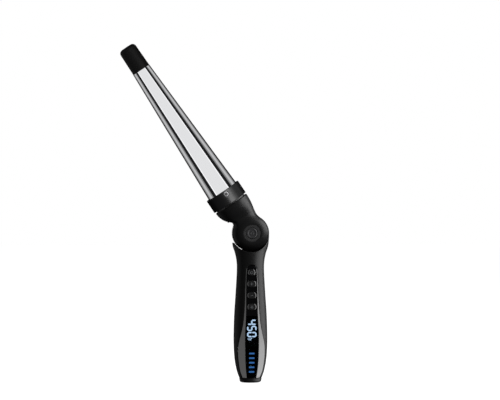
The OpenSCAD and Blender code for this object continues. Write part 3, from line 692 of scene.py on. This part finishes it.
def panel_bezel():
    """Glossy petal: a sloping facet on each side of the band, with softened edges."""
    rings = []
    for z in bezel_stations():
        h, e, y = bezel_half(z), edge_y(z), band_y(z)
        b = max(h * 0.5, min(band_half(z), h * 0.95))
        pocket = 1.5 if z < END_Z + BAND_END else 0.03
        soft = min(0.2, (h - b) * 0.3)
        low_x, high_x = h + (b - h) * 0.15, h + (b - h) * 0.85
        low_y, high_y = e + (y - e) * 0.15, e + (y - e) * 0.85
        right = fillet([
            (h - 0.3, e + 1.6, 0), (h, e + 1.4, 0.1), (h, e, soft * 0.7), (low_x, low_y, 0),
            (high_x, high_y, 0), (b, y, soft * 0.6), (b, y + pocket, 0),
        ], 4)
        right = [(b * 0.9, min(y + 2.6, e + 1.6))] + right
        ring = right + [(-p[0], p[1]) for p in right[::-1]]
        rings.append([(p[0], p[1], z) for p in ring])
    verts, faces = loft(rings)
    openings = []
    for low_z, high_z in ((7.5, 33.5), (36, 65), (68, 114.5)):
        sides = [(band_half(z) - 0.9, z) for z in np.linspace(low_z, high_z, 20)]
        opening = [[(x, -2, z), (x, -20, z), (-x, -20, z), (-x, -2, z)] for x, z in sides]
        openings.append(raw_mesh("opening", *loft(opening), UP))
    build("skin_panel_bezel", verts, faces, "handle", "gloss_black", GLOSS, ["panel_bezel"], UP,
          PANEL_SHARP, openings)


def band(zs, depth):
    """Strip of the flat band with softened long edges."""
    rings = []
    for z in zs:
        b, y = max(0.05, band_half(z) - 0.08), band_y(z)
        soft = min(0.15, b * 0.4)
        right = fillet([(b, y + depth, 0), (b, y, soft), (b - 2 * soft, y, 0), (0, y, 0)], 3)[:-1]
        rings.append([(p[0], p[1], z) for p in right + [(-p[0], p[1]) for p in right[::-1]]])
    return loft(rings)


def stadium(width, height, inset, count=48):
    """Oval outline with straight top and bottom, as (x, z) points."""
    r = height / 2 - inset
    flat = (width - height) / 2
    out = []
    for k in range(count):
        a = 2 * math.pi * (k + 0.5) / count
        out.append((math.copysign(flat, math.cos(a)) + r * math.cos(a), r * math.sin(a)))
    return out


def oval_prism(width, height, grow, z):
    ring = stadium(width, height, -grow)
    verts, faces = loft([[(x, y, z + pz) for x, pz in ring] for y in (-6, -20)])
    return raw_mesh("oval", verts, faces, UP)


def panel_strips():
    fascia_zs = list(np.linspace(WINDOW_TOP + 0.2, END_Z, 40))
    fascia_zs += [END_Z + BAND_END * math.sin(math.radians(86) * k / 10) for k in range(1, 11)]
    holes = [oval_prism(w, BUTTON_H, 0.15, z) for z, w in zip(BUTTON_ZS, BUTTON_WS)]
    build("skin_fascia", *band(fascia_zs, STRIP_T), "handle", "gloss_black", GLOSS, ["button_fascia"], UP,
          PANEL_SHARP, holes)
    window_zs = np.linspace(5.1, WINDOW_TOP, 50)
    build("skin_window", *band(window_zs, STRIP_T), "handle", "smoked_window", WINDOW, ["display_window"],
          UP, PANEL_SHARP)


def button(index, name, body):
    """Domed rubber key: rounded shoulder, shallow dish, and a printed sign."""
    z, width = BUTTON_ZS[index], BUTTON_WS[index]
    front = band_y(z) - 0.8
    rings = []
    for inset, depth in BUTTON_PROFILE:
        rings.append([(x, front + depth, z + pz) for x, pz in stadium(width, BUTTON_H, inset)])
    verts, faces = loft(rings[::-1])
    build("skin_" + name, verts, faces, body, "button_rubber", RUBBER, [name], UP, 50)
    y = front + 0.1
    strokes = SIGNS[name](z)
    sign_verts, sign_faces = [], []
    for stroke in strokes:
        v, f = loft([[(x, y - 0.04, pz) for x, pz in stroke], [(x, y + 0.3, pz) for x, pz in stroke]])
        sign_faces += [[i + len(sign_verts) for i in face][::-1] for face in f]
        sign_verts += v
    build("sign_" + name, sign_verts, sign_faces, body, "button_rubber", PRINT)


def bar_sign(x0, z0, x1, z1, w):
    """Straight stroke with a square end, as an outline."""
    d = np.array([x1 - x0, z1 - z0])
    d = d / np.linalg.norm(d) * w / 2
    n = np.array([-d[1], d[0]])
    a, b = np.array([x0, z0]), np.array([x1, z1])
    return [tuple(a - n), tuple(b - n), tuple(b + n), tuple(a + n)]


def arc_sign(z, r, a0, a1, w, steps=22):
    """Arc with square ends, as an outline."""
    angles = [math.radians(a0 + (a1 - a0) * k / steps) for k in range(steps + 1)]
    inner = [((r - w / 2) * math.sin(a), z + (r - w / 2) * math.cos(a)) for a in angles]
    outer = [((r + w / 2) * math.sin(a), z + (r + w / 2) * math.cos(a)) for a in angles]
    return inner + outer[::-1]


STROKE = 0.38
SIGNS = {
    "power_button": lambda z: [arc_sign(z - 0.1, 1.25, 38, 322, STROKE),
                               bar_sign(0, z + 0.1, 0, z + 1.5, STROKE)],
    "plus_button": lambda z: [bar_sign(-1.3, z, 1.3, z, STROKE), bar_sign(0, z - 1.3, 0, z - 0.2, STROKE),
                              bar_sign(0, z + 0.2, 0, z + 1.3, STROKE)],
    "minus_button": lambda z: [bar_sign(-1.3, z, 1.3, z, STROKE)],
    "mode_button": lambda z: [bar_sign(-1.3, z + k, 1.3, z + k, STROKE) for k in (-0.9, 0, 0.9)],
}


def foot_pieces():
    """End cap with its seam, and the swivelling gland in it."""
    cap = fillet([
        (5.02, 6, 0), (5.02, 2, 0.1), (6.12, 2, 0.05), (6.12, 0, 0.25), (10.6, 0, 2.3),
        (11.25, CAP_H, 0.25), (8.1, CAP_H, 0), (8.1, 6, 0),
    ], 8)
    cap.append(cap[0])
    build("skin_end_cap", *lathe(cap, 144), "handle", "matte_black", BLACK, ["end_cap"])
    gland = fillet([
        (3.6, 22, 0), (3.6, 0.02, 0.5), (5.98, 0.02, 0.4), (5.98, 1.68, 0.1), (4.95, 1.68, 0),
        (4.95, 22, 0),
    ], 5)
    gland.append(gland[0])
    build("skin_cord_gland", *lathe(gland, 96), "cord_swivel", "satin_black", SATIN, ["cord_gland"])


dress_cad_nodes()
for which in (-1, 1):
    head_shell(which)
    hinge_cap(which)
    handle_shell(which)
turned_head_pieces()
collar_screws()
panel_bezel()
panel_strips()
for number, (key, key_body) in enumerate(KEYS):
    button(number, key, key_body)
foot_pieces()

# ============================ stage and light ============================


FLOOR_HALF = 6.0
CAMERA_AZIMUTH = math.radians(-6)
CAMERA_DISTANCE = 2.0
# Width of the view at the object in metres, and width of the sensor in millimetres
VIEW_WIDTH, SENSOR_WIDTH = 0.5, 36
VIEW_CENTRE = Vector((-0.0004, 0, 0.182))
TO_CAMERA = Vector((math.sin(CAMERA_AZIMUTH), -math.cos(CAMERA_AZIMUTH), 0))


def stage_floor():
    """Plain white floor that glows a little, so that it is even as far as one sees."""
    mesh = bpy.data.meshes.new("floor")
    half = FLOOR_HALF
    corners = [(-half, -half, 0), (half, -half, 0), (half, half, 0), (-half, half, 0)]
    mesh.from_pydata(corners, [], [(0, 1, 2, 3)])
    floor = bpy.data.objects.new("floor", mesh)
    bpy.context.scene.collection.objects.link(floor)
    paint = bpy.data.materials.new("floor")
    paint.use_nodes = True
    bsdf = paint.node_tree.nodes["Principled BSDF"]
    bsdf.inputs["Base Color"].default_value = (0.12, 0.12, 0.12, 1)
    bsdf.inputs["Roughness"].default_value = 0.9
    bsdf.inputs["Specular IOR Level"].default_value = 0
    bsdf.inputs["Emission Color"].default_value = (1, 1, 1, 1)
    bsdf.inputs["Emission Strength"].default_value = 1.0
    mesh.materials.append(paint)
    floor.visible_glossy = False
    floor.visible_diffuse = False
    floor.visible_transmission = False
    floor.visible_shadow = False
    return floor


def area_light(name, place, target, width, height, radiance, only=(), never=()):
    """Soft light of a given radiance. It lights all pieces, only some, or all but some."""
    data = bpy.data.lights.new(name, "AREA")
    data.shape = "RECTANGLE"
    data.size, data.size_y = width, height
    data.energy = radiance * math.pi * width * height
    obj = bpy.data.objects.new(name, data)
    bpy.context.scene.collection.objects.link(obj)
    look = (Vector(target) - Vector(place)).to_track_quat("-Z", "Y").to_matrix().to_4x4()
    obj.matrix_world = Matrix.Translation(place) @ look
    obj.visible_camera = False
    if only or never:
        group = bpy.data.collections.new(name + "_targets")
        for o in dict.fromkeys(only or never):
            group.objects.link(o)
        for link in group.collection_objects:
            link.light_linking.link_state = "INCLUDE" if only else "EXCLUDE"
        obj.light_linking.receiver_collection = group
    return obj


def camera():
    data = bpy.data.cameras.new("camera")
    data.sensor_width = SENSOR_WIDTH
    data.lens = SENSOR_WIDTH * CAMERA_DISTANCE / VIEW_WIDTH
    obj = bpy.data.objects.new("camera", data)
    bpy.context.scene.collection.objects.link(obj)
    place = VIEW_CENTRE + TO_CAMERA * CAMERA_DISTANCE
    look = (-TO_CAMERA).to_track_quat("-Z", "Y").to_matrix().to_4x4()
    obj.matrix_world = Matrix.Translation(place) @ look
    bpy.context.scene.camera = obj


def world():
    """White behind the object; for reflections, a dim and even studio."""
    w = bpy.data.worlds.new("studio")
    bpy.context.scene.world = w
    w.use_nodes = True
    nodes, links = w.node_tree.nodes, w.node_tree.links
    back = nodes["Background"]
    back.inputs["Color"].default_value = (1, 1, 1, 1)
    back.inputs["Strength"].default_value = 1.0
    dim = nodes.new("ShaderNodeBackground")
    dim.inputs["Color"].default_value = (0.014, 0.014, 0.0145, 1)
    path = nodes.new("ShaderNodeLightPath")
    mix = nodes.new("ShaderNodeMixShader")
    links.new(path.outputs["Is Camera Ray"], mix.inputs["Fac"])
    links.new(dim.outputs["Background"], mix.inputs[1])
    links.new(back.outputs["Background"], mix.inputs[2])
    links.new(mix.outputs["Shader"], nodes["World Output"].inputs["Surface"])


def ring_light(name, a0, a1, radiance, z0, z1, never=(), only=()):
    """Upright panel that covers the directions from a0 to a1 degrees, from the front towards the right."""
    distance = 1.0
    middle = math.radians((a0 + a1) / 2)
    width = 2 * distance * math.tan(math.radians(a1 - a0) / 2)
    place = Vector((math.sin(middle) * distance, -math.cos(middle) * distance, (z0 + z1) / 2))
    area_light(name, place, (0, 0, place.z), width, z1 - z0, radiance, only, never)


def barrel_lights(metal, collar):
    """Long panels parallel to the barrel, for the bright bands in its mirror and on the collar."""
    distance, length = 0.7, 1.4
    axis = Vector((-math.sin(bend), 0, math.cos(bend)))
    across = axis.cross(TO_CAMERA).normalized()
    facing = across.cross(axis).normalized()
    middle = pivot + axis * 0.12

    def panel(name, a0, a1, radiance, only):
        """Panel over the directions a0 to a1 degrees about the barrel, from the camera's to the right."""
        angle = math.radians((a0 + a1) / 2)
        away = (facing * math.cos(angle) + across * math.sin(angle)).normalized()
        place = middle + away * distance
        width = 2 * distance * math.tan(math.radians(a1 - a0) / 2)
        light = area_light(name, place, middle, length, width, radiance, only)
        turn = Matrix((axis, away.cross(axis), away)).transposed().to_4x4()
        light.matrix_world = Matrix.Translation(place) @ turn

    panel("barrel_front", -54, 54, 0.86, metal)
    bands = (("rim", 48, 54, 0.4), ("side", 80, 132, 0.26), ("core", 92, 116, 0.3))
    for side in (-1, 1):
        for name, near, far, radiance in bands:
            panel(f"barrel_{name}_{side}", *sorted((side * near, side * far)), radiance, metal)
    panel("collar_key", 8, 40, 4.6, collar)
    panel("collar_fade", 40, 60, 1.5, collar)
    panel("collar_left", -90, 0, 0.05, collar)
    panel("collar_right", 60, 110, 0.35, collar)


def skins(*names):
    return [bpy.data.objects["skin_" + name] for name in names]


def lights(floor):
    """Panels around the object. The mirror barrel and the collar have panels of their own."""
    metal = skins("barrel")
    collar = skins("collar", "collar_screws")
    gloss = skins("panel_bezel")
    keys = skins(*[key for key, _ in KEYS])
    fascia = skins("fascia", "window")
    head = skins("head_shell_front", "head_shell_rear")
    tip = skins("cool_tip")
    handle = skins("handle_shell_front", "handle_shell_rear", "end_cap")
    rear = skins("head_shell_rear", "handle_shell_rear", "hinge_cap_rear")
    rear += [bpy.data.objects["hinge_cap_rear_centre"]]
    rear += [frame["nodes"][name] for name in ("head_screws", "handle_screws")]
    polished = metal + collar
    bright = polished + gloss
    matte = head + handle + tip

    barrel_lights(metal, collar)
    ring_light("right_gloss", 60, 98, 4.6, -0.9, 1.5, polished + matte)
    ring_light("left_gloss", -86, -49, 1.2, -0.9, 1.3, polished + matte)
    ring_light("right_soft", 42, 114, 2.6, -0.8, 1.5, bright + keys + tip + head + fascia)
    ring_light("head_soft", 42, 114, 3.6, 0.16, 1.6, bright + keys + tip + handle + fascia)
    ring_light("left_soft", -150, -90, 0.15, -0.8, 1.5, bright)
    ring_light("front_soft", -70, 30, 0.1, -0.8, 1.5, bright + fascia)
    ring_light("rear_key", 205, 262, 3.4, -0.8, 1.5, only=rear)
    ring_light("rear_soft", 110, 180, 0.5, -0.8, 1.5, only=rear)
    ring_light("tip_soft", 14, 50, 0.7, -0.2, 1.5, bright + keys + head + handle)
    area_light("top", (0, 0, 2.0), (0, 0, 0), 2.5, 2.5, 2.0, only=[floor])


world()
camera()
lights(stage_floor())
bpy.context.scene.view_settings.view_transform = "Standard"
